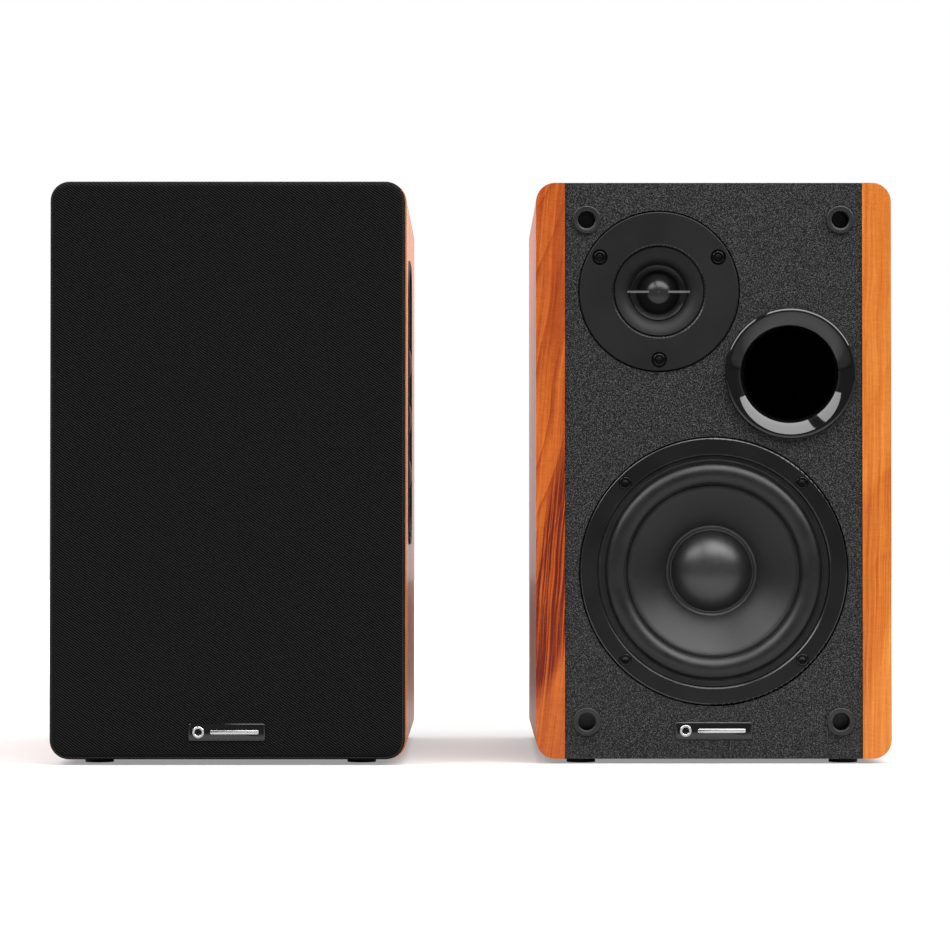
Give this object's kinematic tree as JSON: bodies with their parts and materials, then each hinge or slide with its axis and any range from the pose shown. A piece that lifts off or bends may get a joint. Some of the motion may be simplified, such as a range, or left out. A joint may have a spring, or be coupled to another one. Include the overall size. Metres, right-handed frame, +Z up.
{
  "type": "desktop speakers",
  "caption": "Pair of wood-sided desktop bookshelf speakers: an active cabinet with cloth grille and side knobs, and a passive cabinet with its drivers bare.",
  "frame": {"origin": "on the desk, midway between the two cabinets and midway through the pair's depth", "axes": "+Z up, the drivers face -Y, the passive cabinet stands on the +X side"},
  "size_m": [0.35, 0.2164, 0.242],
  "materials": {
    "cherry_wood": "satin cherry veneer with fine lengthwise figure",
    "black_vinyl_board": "fibreboard wrapped in black pebble-grain vinyl",
    "gloss_black": "polished black moulding",
    "matte_black": "fine moulded texture",
    "black_rubber": "soft black rubber",
    "black_fabric": "fine black acoustic twill",
    "cone_paper": "coated paper pulp, matt charcoal",
    "spider_cloth": "resin-doped cloth",
    "silk": "coated silk",
    "coil_copper": "copper wire on a paper former",
    "black_steel": "black powder coat",
    "motor_steel": "zinc-plated steel round a ferrite ring",
    "screw_steel": "black oxide",
    "wire_pvc": "red, black and grey insulated leads",
    "circuit_board": "green lacquered board with its components",
    "transformer_steel": "varnished laminations",
    "smoked_window": "dark red acrylic",
    "socket_metal": "nickel-plated barrels in a black block",
    "red_plastic": "moulded red",
    "badge_black": "black plate with a silver mark"
  },
  "bodies": {
    "active_cabinet": {"active_side_panels": "cherry_wood", "active_shell": "black_vinyl_board", "active_baffle": "black_vinyl_board", "active_port": "gloss_black", "active_grille_sockets": "matte_black", "active_feet": "black_rubber", "active_woofer_ring": "matte_black", "active_woofer_frame": "black_steel", "active_woofer_surround": "black_rubber", "active_woofer_spider": "spider_cloth", "active_woofer_motor": "motor_steel", "active_tweeter_faceplate": "matte_black", "active_tweeter_motor": "motor_steel", "active_screws": "screw_steel", "active_loom": "wire_pvc", "control_panel": "matte_black", "ir_window": "smoked_window", "control_board": "circuit_board", "amp_plate": "black_steel", "amp_board": "circuit_board", "transformer": "transformer_steel", "input_sockets": "socket_metal", "mains_inlet": "matte_black", "output_terminal": "matte_black"},
    "grille": {"grille_frame": "matte_black", "grille_cloth": "black_fabric", "grille_badge": "badge_black"},
    "active_cone": {"active_woofer_cone": "cone_paper", "active_woofer_dust_cap": "cone_paper", "active_woofer_voice_coil": "coil_copper"},
    "active_dome": {"active_tweeter_dome": "silk"},
    "treble_knob": {"treble_knob": "matte_black"},
    "bass_knob": {"bass_knob": "matte_black"},
    "volume_knob": {"volume_knob": "matte_black"},
    "power_rocker": {"power_rocker": "red_plastic"},
    "output_lever_red": {"output_lever_red": "red_plastic"},
    "output_lever_black": {"output_lever_black": "matte_black"},
    "passive_cabinet": {"passive_side_panels": "cherry_wood", "passive_shell": "black_vinyl_board", "passive_baffle": "black_vinyl_board", "passive_port": "gloss_black", "passive_grille_sockets": "matte_black", "passive_feet": "black_rubber", "passive_badge": "badge_black", "passive_woofer_ring": "matte_black", "passive_woofer_frame": "black_steel", "passive_woofer_surround": "black_rubber", "passive_woofer_spider": "spider_cloth", "passive_woofer_motor": "motor_steel", "passive_tweeter_faceplate": "matte_black", "passive_tweeter_motor": "motor_steel", "passive_screws": "screw_steel", "passive_loom": "wire_pvc", "passive_terminal_cup": "matte_black"},
    "passive_cone": {"passive_woofer_cone": "cone_paper", "passive_woofer_dust_cap": "cone_paper", "passive_woofer_voice_coil": "coil_copper"},
    "passive_dome": {"passive_tweeter_dome": "silk"},
    "passive_lever_red": {"passive_lever_red": "red_plastic"},
    "passive_lever_black": {"passive_lever_black": "matte_black"}
  },
  "joints": [
    {"name": "grille_pull", "type": "slide", "parent": "active_cabinet", "child": "grille", "axis": [0, -1, 0], "range_m": [0, 0.06]},
    {"name": "speaker_spacing", "type": "slide", "parent": "active_cabinet", "child": "passive_cabinet", "axis": [1, 0, 0], "range_m": [0, 0.6]},
    {"name": "active_cone_travel", "type": "slide", "parent": "active_cabinet", "child": "active_cone", "axis": [0, -1, 0], "range_m": [-0.003, 0.003], "stiffness_N_per_m": 300, "deforming": ["active_woofer_surround", "active_woofer_spider"]},
    {"name": "active_dome_travel", "type": "slide", "parent": "active_cabinet", "child": "active_dome", "axis": [0, -1, 0], "range_m": [-0.0003, 0.0003]},
    {"name": "passive_cone_travel", "type": "slide", "parent": "passive_cabinet", "child": "passive_cone", "axis": [0, -1, 0], "range_m": [-0.003, 0.003], "stiffness_N_per_m": 300, "deforming": ["passive_woofer_surround", "passive_woofer_spider"]},
    {"name": "passive_dome_travel", "type": "slide", "parent": "passive_cabinet", "child": "passive_dome", "axis": [0, -1, 0], "range_m": [-0.0003, 0.0003]},
    {"name": "treble_turn", "type": "hinge", "parent": "active_cabinet", "child": "treble_knob", "pos_m": [-0.03, -0.02885, 0.1695], "axis": [1, 0, 0], "range_deg": [-140, 140]},
    {"name": "bass_turn", "type": "hinge", "parent": "active_cabinet", "child": "bass_knob", "pos_m": [-0.03, -0.02885, 0.1455], "axis": [1, 0, 0], "range_deg": [-140, 140]},
    {"name": "volume_turn", "type": "hinge", "parent": "active_cabinet", "child": "volume_knob", "pos_m": [-0.03, -0.02885, 0.1215], "axis": [1, 0, 0], "range_deg": [-150, 150]},
    {"name": "power_rock", "type": "hinge", "parent": "active_cabinet", "child": "power_rocker", "pos_m": [-0.12, 0.09715, 0.06], "axis": [-1, 0, 0], "range_deg": [0, 16]},
    {"name": "output_red_press", "type": "hinge", "parent": "active_cabinet", "child": "output_lever_red", "pos_m": [-0.111, 0.09695, 0.131], "axis": [-1, 0, 0], "range_deg": [0, 20], "stiffness_Nm_per_rad": 0.002},
    {"name": "output_black_press", "type": "hinge", "parent": "active_cabinet", "child": "output_lever_black", "pos_m": [-0.091, 0.09695, 0.131], "axis": [-1, 0, 0], "range_deg": [0, 20], "stiffness_Nm_per_rad": 0.002},
    {"name": "passive_red_press", "type": "hinge", "parent": "passive_cabinet", "child": "passive_lever_red", "pos_m": [0.091, 0.08815, 0.125], "axis": [-1, 0, 0], "range_deg": [0, 20], "stiffness_Nm_per_rad": 0.002},
    {"name": "passive_black_press", "type": "hinge", "parent": "passive_cabinet", "child": "passive_lever_black", "pos_m": [0.111, 0.08815, 0.125], "axis": [-1, 0, 0], "range_deg": [0, 20], "stiffness_Nm_per_rad": 0.002}
  ]
}
